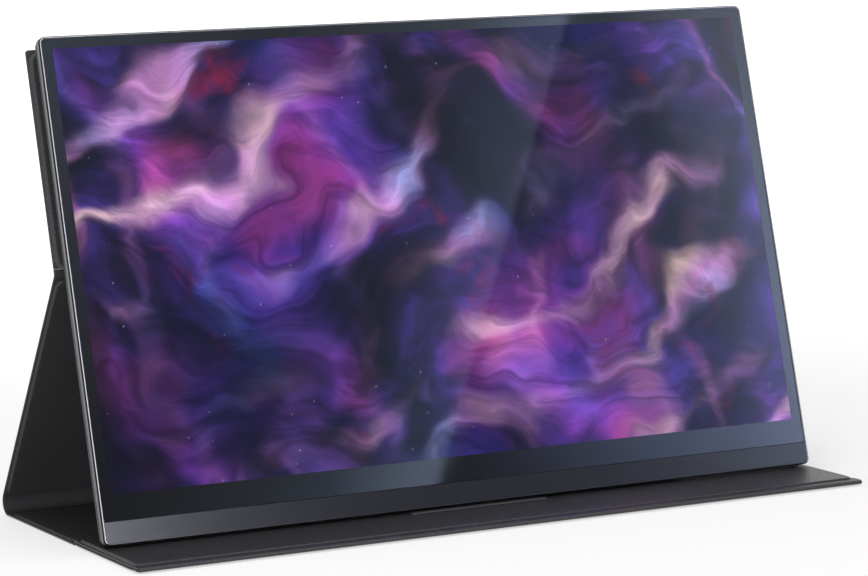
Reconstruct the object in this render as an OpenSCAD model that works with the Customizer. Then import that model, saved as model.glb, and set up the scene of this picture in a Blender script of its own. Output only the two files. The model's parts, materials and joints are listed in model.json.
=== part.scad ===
// Portable monitor standing on its folded leather cover.
// The cover is one run of panels: a holder pad on the display's back, a brace, a base that
// lies on the table, and a flap folded under the base's front. Leather folds join them.
// Frame: +Z up, the screen faces -Y, +X is the screen's right-hand side as a viewer sees it.
// The origin is on the table, at the middle of the object's footprint.
// Display pieces are drawn in the display's own frame: X across, Y into its depth from the
// front glass, Z up its face from the bottom edge.

/* [Screen] */
// Width of the lit area
screen_w = 344.2; // [300:0.1:380]
// Height of the lit area
screen_h = 193.6; // [170:0.1:215]
// Black border beside the lit area, to the edge of the display
side_border = 5.9; // [5:0.1:12]
// Black border over the lit area
top_border = 5.4; // [5:0.1:12]
// Border under the lit area, chin strip included
chin_border = 21.6; // [20:0.1:32]

/* [Display case] */
// Thickness of the whole display
display_t = 8; // [7.8:0.1:11]
// Depth of the metal frame round its edge
frame_depth = 4.6; // [4:0.1:5]
// Thickness of the frame's side wall
frame_wall = 1.6; // [1.2:0.1:2]
// Width of the frame's lip round the glass
frame_lip = 0.8; // [0.5:0.1:1.2]
// Radius of the display's corners
case_corner_r = 3; // [2:0.1:6]
// Width of the polished chamfers on the frame
frame_chamfer = 0.5; // [0.2:0.1:0.7]
// Width of the dark groove that runs round the frame behind its front lip
lip_groove_w = 0.6; // [0.3:0.1:0.8]
// Depth of that groove into the frame
lip_groove_t = 0.25; // [0.15:0.05:0.4]
// How far the rear cover stands in from the frame's outline
cover_inset = 0.5; // [0.3:0.1:1]
// Radius of the rear cover's outer edge
cover_edge_r = 1.5; // [1:0.1:2]
// Wall of the rear cover
cover_wall = 0.8; // [0.6:0.1:1]
// Height of the metal strip under the glass
chin_strip_h = 10.1; // [8:0.1:12]
// Gap between the glass and the chin strip
chin_gap = 0.15; // [0.05:0.05:0.4]

/* [Panel stack] */
// Thickness of the cover glass
glass_t = 1.1; // [0.7:0.1:1.2]
// Thickness of the black adhesive ring behind the glass
gasket_t = 0.3; // [0.2:0.05:0.4]
// Thickness of the liquid crystal cell
cell_t = 0.8; // [0.6:0.05:0.9]
// Thickness of the diffuser sheets
diffuser_t = 0.3; // [0.2:0.05:0.35]
// Thickness of the light guide
light_guide_t = 0.6; // [0.4:0.05:0.65]
// Thickness of the reflector sheet
reflector_t = 0.15; // [0.1:0.05:0.2]
// Thickness of the panel's steel tray
chassis_t = 0.25; // [0.15:0.05:0.3]
// How far the cell reaches past the lit area at the sides and top
cell_margin = 1.6; // [1:0.1:2]
// How far the cell reaches below the lit area
cell_ledge = 3; // [2.5:0.1:4]
// Height of the row of lamps under the light guide
led_bar_h = 1.4; // [1:0.1:1.8]

/* [Electronics] */
// Width of the panel's own board in the chin
panel_board_w = 150; // [110:1:152]
// Height of the panel's own board
panel_board_h = 8; // [6:0.5:9]
// Gap between the panel's tray and its board
panel_board_gap = 1; // [0.5:0.1:2]
// Width of the flat cable from the panel to the driver board
cable_w = 16; // [10:1:20]
// Distance of the flat cable's start from the display's middle
cable_x = 60; // [40:1:64]
// Rise of the flat cable from the panel's board
cable_rise = 34; // [28:1:44]
// Width and height of the shield can
shield_w = 24; // [16:1:28]
// Width of the driver board
board_w = 54; // [46:1:62]
// Height of the driver board
board_h = 92; // [88:1:110]
// Thickness of the driver board
board_t = 0.8; // [0.6:0.1:1]
// Height of the driver board's lower edge on the display
board_bottom = 23; // [22:0.5:28]
// Width of a speaker
speaker_w = 44; // [30:1:60]
// Height of a speaker
speaker_h = 13; // [9:0.5:14]
// Distance of a speaker's middle from the display's middle
speaker_x = 105; // [80:1:120]
// Height of the speakers' middle on the display
speaker_z = 10.5; // [10:0.5:12]
// Number of sound slots for each speaker
slot_count = 9; // [5:1:12]
// Width of a sound slot
slot_w = 1.2; // [0.8:0.1:1.6]

/* [Ports and keys] */
// Depth of the sockets' middle behind the front glass
port_depth = 5.3; // [5.2:0.05:5.4]
// Height of the headphone socket on the side
jack_z = 9; // [8:0.5:12]
// Depth of the headphone socket's middle behind the front glass
jack_depth = 4.4; // [4.2:0.05:4.6]
// Radius of the headphone socket's bore
jack_r = 1.8; // [1.7:0.05:1.9]
// Depth of the headphone socket's bore
jack_bore = 14; // [12:0.5:16]
// Height of the first USB-C socket on the side
usb_z = 32; // [30:0.5:34]
// Distance from one USB-C socket to the next
usb_pitch = 16; // [14:0.5:17]
// Width of a USB-C socket's shell
usb_w = 9; // [8.9:0.05:9.2]
// Height of a USB-C socket's shell
usb_h = 3.1; // [3:0.05:3.2]
// Height of the mini HDMI socket on the side
hdmi_z = 65; // [64:0.5:67]
// Width of the mini HDMI socket's shell
hdmi_w = 11.2; // [10.8:0.1:11.6]
// Height of the menu lever's middle on the side
lever_z = 84; // [80:0.5:86]
// Length of the menu lever
lever_len = 12; // [9:0.5:13]
// Height of the power button's middle on the side
button_z = 102; // [98:0.5:106]
// Length of the power button
button_len = 11; // [8:0.5:12]
// Height of both keys, across the side
key_h = 2; // [1.6:0.1:2.2]
// How far both keys stand out of the side
key_proud = 0.5; // [0.3:0.1:0.8]
// Travel of the power button
button_travel = 0.35; // [0.2:0.05:0.45]
// Turn of the menu lever each way, in degrees
lever_turn = 3; // [2:0.5:4]

/* [Stance] */
// How far the display leans back, in degrees
tilt = 15; // [10:0.5:20]
// Height of the fold on the display's back, from its bottom edge
fold_z = 118.8; // [110:0.1:126]
// Length of the brace from the top fold to the rear bend
brace_len = 129.1; // [126:0.1:136]
// Outer radius of the rear bend
bend_r = 6; // [4:0.1:9]

/* [Cover] */
// How far the leather cover stands out past each side of the display
cover_overhang = 2; // [0:0.1:6]
// Thickness of the outer leather
skin_t = 0.5; // [0.4:0.05:0.7]
// Thickness of the stiffening board in each panel
board_layer_t = 0.7; // [0.5:0.05:1.2]
// Thickness of the inner leather
lining_t = 0.4; // [0.3:0.05:0.6]
// Width of the bare leather hem at the sides
side_hem = 2.5; // [1.5:0.1:4]
// Radius of the cover's outer corners
cover_corner_r = 6; // [3:0.5:10]
// Radius of the boards' corners
board_corner_r = 4; // [2:0.5:6]
// Width of soft leather at a crease between two boards
crease_w = 5; // [4:0.5:8]
// Width of soft leather where the flap folds under the base
front_fold_w = 5.5; // [5:0.5:8]
// Spare length of the closed cover past the top of the screen
closed_spare = 0; // [0:0.5:4]
// Width of the display's stop bar on the base
stop_bar_w = 68; // [40:1:120]
// Depth of the stop bar
stop_bar_d = 4; // [2:0.5:6]
// Height of the stop bar
stop_bar_h = 0.9; // [0.5:0.1:1]
// Gap between the stop bar and the display's bottom front edge
stop_gap = 0.4; // [0.3:0.1:1]

/* [Holder pad] */
// Height of the pad's lower end on the display
pad_bottom = 65; // [50:1:80]
// Distance of the cover's upper end from the display's top
back_top_gap = 3; // [1:0.5:8]
// Distance of the pad's upper end from the cover's upper end
pad_inset = 2; // [1:0.5:6]
// Distance of the pad's sides from the display's sides
pad_side_gap = 4; // [2:0.5:10]
// Depth from the front glass to the cover's outer leather
holder_depth = 13.4; // [12.9:0.1:15]
// Radius of the pad's corners
pad_corner_r = 8; // [4:0.5:12]
// Radius of the pad's soft edge
pad_edge_r = 1.4; // [0.8:0.1:1.5]
// Thickness of the leather round the pad
wrap_t = 0.6; // [0.4:0.05:0.8]
// Radius of a holding magnet
magnet_r = 7; // [5:0.5:9]
// Thickness of a holding magnet
magnet_t = 1.5; // [1:0.1:1.8]
// Distance between the columns of holding magnets
magnet_spacing = 98; // [70:1:104]
// Distance of the rows of holding magnets from the pad's ends
magnet_edge = 20; // [12:1:30]
// Thickness of the steel plates that the magnets grip
plate_t = 0.4; // [0.3:0.05:0.6]
// How far the steel plates reach past the magnets
plate_rim = 4; // [2:0.5:5]
// Width of a closing magnet
closer_w = 20; // [12:1:30]
// Depth of a closing magnet
closer_d = 6; // [4:0.5:8]
// Distance of the closing magnets behind the base's front fold
closer_edge = 12; // [8:0.5:20]

/* [Clearances] */
// Gap between the display's foot and the base
foot_gap = 0.1; // [0.05:0.05:0.3]
// Gap between the display's back and the pad
grip_gap = 0.1; // [0:0.05:0.3]
// Gap between the pad and the brace when folded flat
flat_gap = 0.3; // [0.2:0.05:0.6]
// Gap between fitted still pieces
fit_gap = 0.1; // [0.05:0.05:0.2]
// Gap round the moving keys
key_gap = 0.15; // [0.1:0.05:0.3]
// Gap between the brace's leather and the rear bend that it is joined to
seam_gap = 0.02; // [0.01:0.01:0.05]
// Gap between the folded flap's free edge and the base's crease
flap_gap = 0.3; // [0.2:0.1:1]

/* [Hidden] */
// One more than a cut's depth needs, so that no skin is left
cut = 1;
// Smoothness of round features
$fn = 48;

// The display's outline, and the places of its inner faces
display_w = screen_w + 2 * side_border;
display_h = screen_h + top_border + chin_border;
glass_w = display_w - 2 * frame_lip - 2 * fit_gap;
glass_bottom = chin_strip_h + chin_gap;
glass_top = display_h - frame_lip - fit_gap;
glass_corner_r = case_corner_r - frame_lip;
inner_w = display_w - 2 * frame_wall;
inner_corner_r = case_corner_r - frame_wall;
cover_outline_w = display_w - 2 * cover_inset;
cover_outline_h = display_h - 2 * cover_inset;
back_inner = display_t - cover_wall;

// The panel stack's faces, by depth behind the front glass
cell_front = glass_t + gasket_t;
diffuser_front = cell_front + cell_t;
guide_front = diffuser_front + diffuser_t;
reflector_front = guide_front + light_guide_t;
chassis_front = reflector_front + reflector_t;
chassis_back = chassis_front + chassis_t;
cell_w = screen_w + 2 * cell_margin;
cell_bottom = chin_border - cell_ledge;
cell_top = display_h - top_border + cell_margin;
guide_bottom = cell_bottom + led_bar_h + fit_gap;
chassis_w = cell_w + 2 * fit_gap + 2 * chassis_t;

// The electronics' faces
side_inner_x = display_w / 2 - frame_wall;
cover_side_inner_x = cover_outline_w / 2 - cover_wall;
board_edge_gap = 1.7;
board_right = cover_side_inner_x - board_edge_gap;
board_left = board_right - board_w;
board_depth = port_depth - board_t / 2;
chip_t = 0.9;
chip_side = 9;
board_screw_edge = 3.5;
board_screw_places = [[board_left + board_screw_edge, board_bottom + board_screw_edge],
    [board_left + board_screw_edge, board_bottom + board_h - board_screw_edge],
    [board_right - hdmi_w, board_bottom + board_h - board_screw_edge]];
panel_board_front = cell_front + 5 * fit_gap;
panel_board_z = cell_bottom - fit_gap - chassis_t - panel_board_gap - panel_board_h;
usb_len = 7.3;
hdmi_len = 7.5;
hdmi_h = 3;
shell_wall = 0.3;
port_places = [[usb_z, usb_w, usb_h, usb_len], [usb_z + usb_pitch, usb_w, usb_h, usb_len],
    [hdmi_z, hdmi_w, hdmi_h, hdmi_len]];
jack_wall = 0.45;
jack_len = jack_bore + 1.2;
port_front_x = display_w / 2 - cover_inset;
key_depth = frame_depth - frame_chamfer - key_h / 2 - key_gap;
key_body = 2.4;
key_inner_x = display_w / 2 - key_body;
switch_d = 1.6;
screw_r = 0.8;
screw_head_r = 1.5;
screw_head_t = 0.5;
screw_tip = 2.2;
boss_r = 1.9;
speaker_front = chassis_back + 0.3;
speaker_back = back_inner - fit_gap;
slot_pitch = (speaker_w - 8) / (slot_count - 1);
slot_len = 7;

// The cover's panels
panel_t = skin_t + board_layer_t + lining_t;
strip_t = skin_t + lining_t;
cover_w = display_w + 2 * cover_overhang;
hem_board_w = cover_w - 2 * side_hem;
base_top = 2 * panel_t;

// The stance: the display's lowest point is the rounded edge of its rear cover
foot_drop = cover_edge_r + (display_t - cover_edge_r) * sin(tilt)
    - (cover_inset + cover_edge_r) * cos(tilt);
edge_z = base_top + foot_gap + foot_drop;
// The top fold, seen from the display's bottom front edge
fold_dy = fold_z * sin(tilt) + holder_depth * cos(tilt);
fold_height = edge_z + fold_z * cos(tilt) - holder_depth * sin(tilt);
// The brace's lean from upright that puts the rear bend on the table
brace_lean = atan2(bend_r, brace_len)
    + acos((fold_height - bend_r) / sqrt(bend_r * bend_r + brace_len * brace_len));
bend_dy = fold_dy + brace_len * sin(brace_lean) - bend_r * cos(brace_lean);
rear_dy = bend_dy + bend_r;
// The angle between the brace and the display, and the bend's angle round the rear
fold_angle = brace_lean + tilt;
bend_angle = 90 + brace_lean;
// The closed cover spans the screen in three panels: rear base, front base and flap
panel_pitch = (display_h + closed_spare) / 3;
// Reach of the base in front of the display, which puts the footprint's middle at the origin
base_reach = 2 * panel_pitch + front_fold_w - bend_dy;
edge_y = (base_reach - rear_dy) / 2;
bend_y = edge_y + bend_dy;
base_front_y = bend_y - 2 * panel_pitch;
front_y = base_front_y - front_fold_w;
// The flap turns about the middle of its soft fold's nose, and the fold takes up its length
nose_y = front_y + strip_t;
flap_to = base_front_y + panel_pitch - 2 * (base_front_y - nose_y);
// The base's crease starts where the folded flap ends, so that the base lies evenly on the table
crease_front_y = flap_to + flap_gap;
crease_rear_y = crease_front_y + crease_w;
// The hinge of the brace is the middle of the rear bend's arc
hinge_angle = (brace_lean - 90) / 2;
hinge_y = bend_y + bend_r * cos(hinge_angle);
hinge_z = bend_r + bend_r * sin(hinge_angle);
echo(edge_y = edge_y, edge_z = edge_z, hinge_y = hinge_y, hinge_z = hinge_z);
echo(fold_y = edge_y + fold_dy, fold_height = fold_height, brace_lean = brace_lean);
echo(nose_y = nose_y, flap_to = flap_to, rear_y = edge_y + rear_dy, bend_y = bend_y);
echo(display_w = display_w, display_h = display_h, base_front_y = base_front_y);

// The holder pad's faces
pad_w = display_w - 2 * pad_side_gap;
back_top = display_h - back_top_gap;
pad_top = back_top - pad_inset;
magnet_columns = [-magnet_spacing, 0, magnet_spacing];
magnet_rows = [pad_bottom + magnet_edge, pad_top - magnet_edge];
pad_front = display_t + grip_gap;
pad_back = holder_depth - panel_t - flat_gap;
back_board_t = holder_depth - skin_t - pad_back;
back_bottom = fold_z + crease_w / 2;

// Puts a piece drawn in the display's frame in its place on the stand.
module on_display() {
    translate([0, edge_y, edge_z]) rotate([-tilt, 0, 0]) children();
}

// Puts a panel drawn flat (length along Y, outer skin down) on the leaning brace.
module on_brace() {
    translate([0, edge_y + fold_dy, fold_height])
        rotate([brace_lean - 90, 0, 0])
            mirror([0, 0, 1]) children();
}

// Turns a shape drawn flat (X across, Y up the face, Z into the depth) to the display's frame.
module face_frame(depth) {
    translate([0, depth, 0]) mirror([0, 1, 0]) rotate([90, 0, 0]) children();
}

// A rectangle with round corners, centred across and standing on Y = 0.
module round_rect(w, h, r) {
    translate([-w / 2 + r, 0]) square([w - 2 * r, h]);
    translate([-w / 2, r]) square([w, h - 2 * r]);
    for (x = [-w / 2 + r, w / 2 - r], y = [r, h - r]) translate([x, y]) circle(r);
}

// A plate in the display's frame: its outline stands on height z, from depth d for t.
module plate(w, z, h, d, t, r = 0) {
    face_frame(d) translate([0, z, 0]) linear_extrude(t) {
        if (r > 0) round_rect(w, h, r);
        else translate([-w / 2, 0]) square([w, h]);
    }
}

// A box in the display's frame, from its lowest corner.
module slab(x, d, z, sx, sd, sz) {
    translate([x, d, z]) cube([sx, sd, sz]);
}

// A border of profile round a rectangle with round corners: the profile's X points outwards
// from the corners' middles, and its Y goes into the depth.
module profiled_slab(w, h, r) {
    for (side = [0, 1]) mirror([side, 0, 0])
        translate([w / 2 - r, h - r, 0]) rotate([90, 0, 0]) linear_extrude(h - 2 * r) children();
    for (end = [0, 1]) translate([0, end * h, 0]) mirror([0, end, 0])
        translate([-w / 2 + r, h - r, 0]) rotate([90, 0, 90]) linear_extrude(w - 2 * r) children();
    for (x = [-w / 2 + r, w / 2 - r], y = [r, h - r]) translate([x, y, 0])
        rotate_extrude() children();
}

// The frame's outer body, with a polished chamfer front and back.
module chamfered_body(w, h, t, r, c) {
    face_frame(0) {
        profiled_slab(w, h, r)
            polygon([[0, 0], [r - c, 0], [r, c], [r, t - c], [r - c, t], [0, t]]);
        translate([-w / 2 + r, r, 0]) cube([w - 2 * r, h - 2 * r, t]);
    }
}

// A slab with round corners in plan and a round edge of radius e on its rear side.
module soft_slab(w, z, h, d, t, r, e) {
    face_frame(d) translate([0, z, 0]) {
        profiled_slab(w, h, r) {
            square([r - e, t]);
            square([r, t - e]);
            intersection() {
                translate([r - e, t - e]) circle(e);
                square([r, t]);
            }
        }
        translate([-w / 2 + r, r, 0]) cube([w - 2 * r, h - 2 * r, t]);
    }
}

// A small rectangular or round-ended opening through the display's right side wall.
module side_slot(z, w, h, d, depth) {
    translate([display_w / 2 + cut, d, z]) rotate([0, -90, 0]) linear_extrude(depth + cut)
        stadium(w, h);
}

// A flat shape with round ends, w long and h high, centred.
module stadium(w, h) {
    square([w - h, h], center = true);
    for (side = [-1, 1]) translate([side * (w - h) / 2, 0]) circle(h / 2);
}

// Openings in the right-hand side for the sockets and the keys.
module side_openings(depth) {
    for (p = port_places) side_slot(p[0], p[1] + 2 * fit_gap, p[2] + 2 * fit_gap, port_depth, depth);
    side_slot(lever_z, lever_len + 2 * key_gap, key_h + 2 * key_gap, key_depth, depth);
    side_slot(button_z, button_len + 2 * key_gap, key_h + 2 * key_gap, key_depth, depth);
    translate([display_w / 2 + cut, jack_depth, jack_z]) rotate([0, -90, 0])
        cylinder(h = depth + cut, r = jack_r + jack_wall + fit_gap);
}
// The front face inside the frame's lip, which the glass and the chin strip share.
module front_face() {
    plate(glass_w, frame_lip + fit_gap, glass_top - frame_lip - fit_gap, 0, glass_t,
        glass_corner_r);
}

module cover_glass() {
    color([0.05, 0.06, 0.07]) on_display() difference() {
        front_face();
        slab(-display_w / 2, -cut, -cut, display_w, glass_t + 2 * cut, glass_bottom + cut);
    }
}

module chin_strip() {
    color([0.3, 0.3, 0.32]) on_display() difference() {
        front_face();
        slab(-display_w / 2, -cut, chin_strip_h, display_w, glass_t + 2 * cut, display_h);
    }
}

// The metal frame: a ring with a seat for the glass and openings in its right side.
module mid_frame() {
    color([0.42, 0.43, 0.45]) on_display() difference() {
        union() {
            difference() {
                frame_ring();
                side_openings(frame_wall + cover_inset);
            }
            for (p = cover_screw_places)
                slab(p[0] - boss_r, cell_front + fit_gap, frame_wall - fit_gap, 2 * boss_r,
                    frame_depth - cell_front - fit_gap, p[1] + boss_r - frame_wall + fit_gap);
        }
        for (p = cover_screw_places) translate([p[0], cell_front, p[1]]) rotate([-90, 0, 0])
            cylinder(h = frame_depth, r = screw_r + fit_gap);
    }
}

module frame_ring() {
    difference() {
        chamfered_body(display_w, display_h, frame_depth, case_corner_r, frame_chamfer);
        difference() {
            plate(display_w + 2 * cut, -cut, display_h + 2 * cut, frame_chamfer, lip_groove_w,
                case_corner_r + cut);
            plate(display_w - 2 * lip_groove_t, lip_groove_t, display_h - 2 * lip_groove_t, 0,
                frame_depth, case_corner_r - lip_groove_t);
        }
        plate(display_w - 2 * frame_lip, frame_lip, display_h - 2 * frame_lip, -cut,
            glass_t + cut, glass_corner_r);
        plate(inner_w, frame_wall, display_h - 2 * frame_wall, glass_t - cut,
            frame_depth + 2 * cut, inner_corner_r);
    }
}

module bezel_gasket() {
    window = fit_gap;
    color([0.02, 0.02, 0.02]) on_display() difference() {
        plate(inner_w - 2 * fit_gap, frame_wall + fit_gap,
            display_h - 2 * frame_wall - 2 * fit_gap, glass_t, gasket_t, inner_corner_r);
        plate(screen_w + 2 * window, chin_border - window, screen_h + 2 * window,
            glass_t - cut, gasket_t + 2 * cut);
    }
}

module lcd_cell() {
    color([0.2, 0.12, 0.4]) on_display()
        plate(cell_w, cell_bottom, cell_top - cell_bottom, cell_front, cell_t);
}

module diffuser_sheets() {
    color([0.95, 0.95, 0.97]) on_display()
        plate(cell_w, cell_bottom, cell_top - cell_bottom, diffuser_front, diffuser_t);
}

module light_guide() {
    color([0.85, 0.92, 0.95]) on_display()
        plate(cell_w, guide_bottom, cell_top - guide_bottom, guide_front, light_guide_t);
}

module reflector_sheet() {
    color([0.98, 0.98, 0.98]) on_display()
        plate(cell_w, cell_bottom, cell_top - cell_bottom, reflector_front, reflector_t);
}

// A strip of lamps along the light guide's lower edge.
module led_bar() {
    led_count = 32;
    led_w = 3;
    led_pitch = cell_w / led_count;
    strip_back = guide_front + light_guide_t;
    color([0.9, 0.88, 0.6]) on_display() {
        slab(-cell_w / 2, strip_back - 0.2, cell_bottom, cell_w, 0.2, led_bar_h);
        for (i = [0:led_count - 1])
            slab(-cell_w / 2 + led_pitch * (i + 0.5) - led_w / 2, guide_front,
                cell_bottom + led_bar_h - 0.8, led_w, light_guide_t - 0.2, 0.8);
    }
}

// The steel tray that holds the stack, open to the front.
module panel_chassis() {
    bottom = cell_bottom - fit_gap - chassis_t;
    tall = cell_top - cell_bottom + 2 * fit_gap + 2 * chassis_t;
    color([0.7, 0.71, 0.72]) on_display() difference() {
        plate(chassis_w, bottom, tall, cell_front + 0.2, chassis_back - cell_front - 0.2);
        plate(cell_w + 2 * fit_gap, cell_bottom - fit_gap, tall - 2 * chassis_t,
            cell_front - cut, chassis_front - cell_front + cut);
    }
}

// The panel's own narrow board, under the glass in the chin, with its row of chips.
module panel_board() {
    chip_pitch = panel_board_w / 7.5;
    chip_w = chip_pitch * 0.4;
    color([0.1, 0.35, 0.2]) on_display() {
        slab(-panel_board_w / 2, panel_board_front, panel_board_z, panel_board_w, board_t,
            panel_board_h);
        for (i = [-3:3])
            slab(i * chip_pitch - chip_w / 2, panel_board_front + board_t,
                panel_board_z + panel_board_h / 4, chip_w, chip_t, panel_board_h / 2);
    }
}

// The flat cable: out of the last chip, up behind the tray and across to the driver board.
module display_cable() {
    cable_t = 0.15;
    start_z = panel_board_z + panel_board_h / 4;
    start_d = panel_board_front + board_t + chip_t;
    run_d = chassis_back + 4 * fit_gap;
    plug_d = board_depth - run_d - cable_t;
    end_x = board_left + cable_w / 4;
    color([0.75, 0.6, 0.3]) on_display() {
        slab(cable_x - cable_w / 2, start_d, start_z, cable_w, run_d + cable_t - start_d, cable_t);
        slab(cable_x - cable_w / 2, run_d, start_z, cable_w, cable_t, cable_rise);
        slab(cable_x - cable_w / 2, run_d, start_z + cable_rise - cable_w,
            end_x - cable_x + cable_w / 2, cable_t, cable_w);
        slab(board_left, run_d + cable_t, start_z + cable_rise - cable_w + 1,
            cable_w / 4, plug_d, cable_w - 2);
    }
}

// The driver board, notched where the sockets sit in it.
module driver_board() {
    color([0.08, 0.32, 0.18]) on_display() {
        difference() {
            slab(board_left, board_depth, board_bottom, board_w, board_t, board_h);
            for (p = port_places)
                slab(port_front_x - p[3] - fit_gap, board_depth - cut,
                    p[0] - p[1] / 2 - fit_gap, p[3] + cut, board_t + 2 * cut,
                    p[1] + 2 * fit_gap);
            for (p = board_screw_places) translate([p[0], board_depth - cut, p[1]])
                rotate([-90, 0, 0]) cylinder(h = board_t + 2 * cut, r = screw_r + fit_gap);
        }
        for (i = [0:3])
            slab(board_left + chip_side, board_depth - chip_t,
                board_bottom + chip_side * (1.3 + 2 * i), chip_side * (1 + i % 2 * 0.4), chip_t,
                chip_side);
    }
}

// The pressed shield can over the board's main chips.
module board_shield() {
    can = shield_w;
    can_t = 0.2;
    can_d = back_inner - fit_gap - board_depth - board_t;
    x = board_left + (board_w - can) / 3;
    z = board_bottom + board_h / 3;
    color([0.75, 0.76, 0.78]) on_display() difference() {
        slab(x, board_depth + board_t, z, can, can_d, can);
        slab(x + can_t, board_depth + board_t - cut, z + can_t, can - 2 * can_t,
            can_d - can_t + cut, can - 2 * can_t);
    }
}

// A socket's pressed shell, open to the side, with its tongue.
module port_shell(z, w, h, len, tongue_w, tongue_h) {
    translate([port_front_x, port_depth, z]) rotate([0, -90, 0]) {
        difference() {
            linear_extrude(len) stadium(w, h);
            translate([0, 0, -cut]) linear_extrude(len - 1 + cut)
                stadium(w - 2 * shell_wall, h - 2 * shell_wall);
        }
        translate([-tongue_w / 2, -tongue_h / 2, 1]) cube([tongue_w, tongue_h, len - 1.5]);
    }
}

module usb_c_ports() {
    color([0.7, 0.7, 0.72]) on_display()
        for (i = [0, 1]) port_shell(usb_z + i * usb_pitch, usb_w, usb_h, usb_len, 6.6, 0.7);
}

module mini_hdmi_port() {
    color([0.7, 0.7, 0.72]) on_display() port_shell(hdmi_z, hdmi_w, hdmi_h, hdmi_len, 8, 0.8);
}

module audio_jack() {
    color([0.1, 0.1, 0.1]) on_display() translate([port_front_x, jack_depth, jack_z])
        rotate([0, -90, 0]) difference() {
            cylinder(h = jack_len, r = jack_r + jack_wall);
            translate([0, 0, -cut]) cylinder(h = jack_bore + cut, r = jack_r);
        }
}

// Two side-press switches behind the keys, seated on the frame's shelf.
module key_switches() {
    switch_x = key_inner_x - button_travel - fit_gap - switch_d;
    color([0.8, 0.8, 0.82]) on_display()
        for (z = [button_z, lever_z + lever_len / 3, lever_z - lever_len / 3])
            slab(switch_x, chassis_back + fit_gap, z - 1.75, switch_d,
                board_depth - chassis_back - fit_gap, 3.5);
}

module speakers() {
    color([0.12, 0.12, 0.13]) on_display() for (side = [-1, 1]) difference() {
        slab(side * speaker_x - speaker_w / 2, speaker_front, speaker_z - speaker_h / 2,
            speaker_w, speaker_back - speaker_front, speaker_h);
        translate([side * speaker_x, speaker_back - 0.6, speaker_z]) rotate([-90, 0, 0])
            linear_extrude(cut + 0.6) stadium(speaker_w - 10, speaker_h - 4);
    }
}

// Twin leads from each speaker, up and along behind the board's lower edge.
module speaker_wires() {
    wire_r = 0.4;
    wire_pitch = 1.1;
    run_d = board_depth + board_t + fit_gap + wire_r;
    lead_z = speaker_z + speaker_h / 2;
    color([0.6, 0.1, 0.1]) on_display() for (side = [-1, 1], k = [0, 1]) {
        row = side < 0 ? k : k + 2;
        up = lead_z + wire_pitch * (row + 1);
        from_x = side * speaker_x - 5 + 2 * k;
        to_x = board_left + 6 + 2 * row;
        translate([from_x, run_d, lead_z]) cylinder(h = up - lead_z, r = wire_r);
        translate([from_x - wire_r, run_d, up]) rotate([0, 90, 0])
            cylinder(h = to_x - from_x + 2 * wire_r, r = wire_r);
        translate([to_x, run_d, up]) cylinder(h = board_bottom + 4 - up, r = wire_r);
    }
}

// Steel plates bonded inside the rear cover, for the pad's magnets to grip.
module steel_plates() {
    plate_w = 2 * (magnet_r + plate_rim);
    color([0.6, 0.6, 0.62]) on_display()
        for (x = magnet_columns, z = magnet_rows)
            slab(x - plate_w / 2, back_inner - plate_t, z - plate_w / 2, plate_w, plate_t, plate_w);
}

// Four screws along the bottom; the top edge only hooks under the frame.
cover_screw_z = 6.5;
corner_screw_edge = 24;
speaker_screw_gap = 4;
cover_screw_places = [for (side = [-1, 1], x = [display_w / 2 - corner_screw_edge,
    speaker_x - speaker_w / 2 - speaker_screw_gap]) [side * x, cover_screw_z]];

// The rear cover: a shallow shell with sound slots and screw bosses.
module rear_cover() {
    color([0.22, 0.23, 0.25]) on_display() difference() {
        union() {
            difference() {
                soft_slab(cover_outline_w, cover_inset, cover_outline_h, frame_depth,
                    display_t - frame_depth, case_corner_r, cover_edge_r);
                plate(cover_outline_w - 2 * cover_wall, cover_inset + cover_wall,
                    cover_outline_h - 2 * cover_wall, frame_depth - cut,
                    back_inner - frame_depth + cut, case_corner_r - cover_wall);
            }
            for (p = cover_screw_places) translate([p[0], frame_depth, p[1]])
                rotate([-90, 0, 0]) cylinder(h = back_inner - frame_depth, r = boss_r);
            for (p = board_screw_places) translate([p[0], board_depth + board_t, p[1]])
                rotate([-90, 0, 0]) cylinder(h = back_inner - board_depth - board_t, r = boss_r);
        }
        for (p = board_screw_places) translate([p[0], board_depth, p[1]])
            rotate([-90, 0, 0]) cylinder(h = back_inner - board_depth, r = screw_r + fit_gap);
        for (p = cover_screw_places) {
            translate([p[0], frame_depth - cut, p[1]]) rotate([-90, 0, 0])
                cylinder(h = display_t, r = screw_r + fit_gap);
            translate([p[0], display_t - screw_head_t - 0.2, p[1]]) rotate([-90, 0, 0])
                cylinder(h = cut + screw_head_t, r = screw_head_r + fit_gap);
        }
        for (side = [-1, 1], i = [0:slot_count - 1])
            translate([side * speaker_x + (i - (slot_count - 1) / 2) * slot_pitch,
                back_inner - cut, speaker_z]) rotate([-90, 0, 0])
                linear_extrude(cover_wall + 2 * cut) rotate(90) stadium(slot_len, slot_w);
        side_openings(cover_wall + cover_inset + fit_gap);
    }
}

module cover_screws() {
    color([0.15, 0.15, 0.16]) on_display() for (p = cover_screw_places)
        translate([p[0], display_t - screw_head_t - 0.2, p[1]]) rotate([90, 0, 0]) {
            translate([0, 0, -screw_head_t]) difference() {
                cylinder(h = screw_head_t, r = screw_head_r);
                translate([0, 0, -cut]) cylinder(h = cut + 0.25, r = 0.6);
            }
            cylinder(h = display_t - screw_head_t - 0.2 - screw_tip, r = screw_r);
        }
}

module board_screws() {
    color([0.75, 0.75, 0.77]) on_display() for (p = board_screw_places)
        translate([p[0], board_depth, p[1]]) rotate([90, 0, 0]) {
            cylinder(h = screw_head_t, r = screw_head_r);
            translate([0, 0, -(back_inner - board_depth)])
                cylinder(h = back_inner - board_depth, r = screw_r);
        }
}

// A key's cap, from inside the frame's wall to a little way out of it.
module key_cap(z, len) {
    translate([key_inner_x, key_depth, z]) rotate([0, 90, 0])
        linear_extrude(key_body + key_proud) stadium(len, key_h);
}

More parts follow.
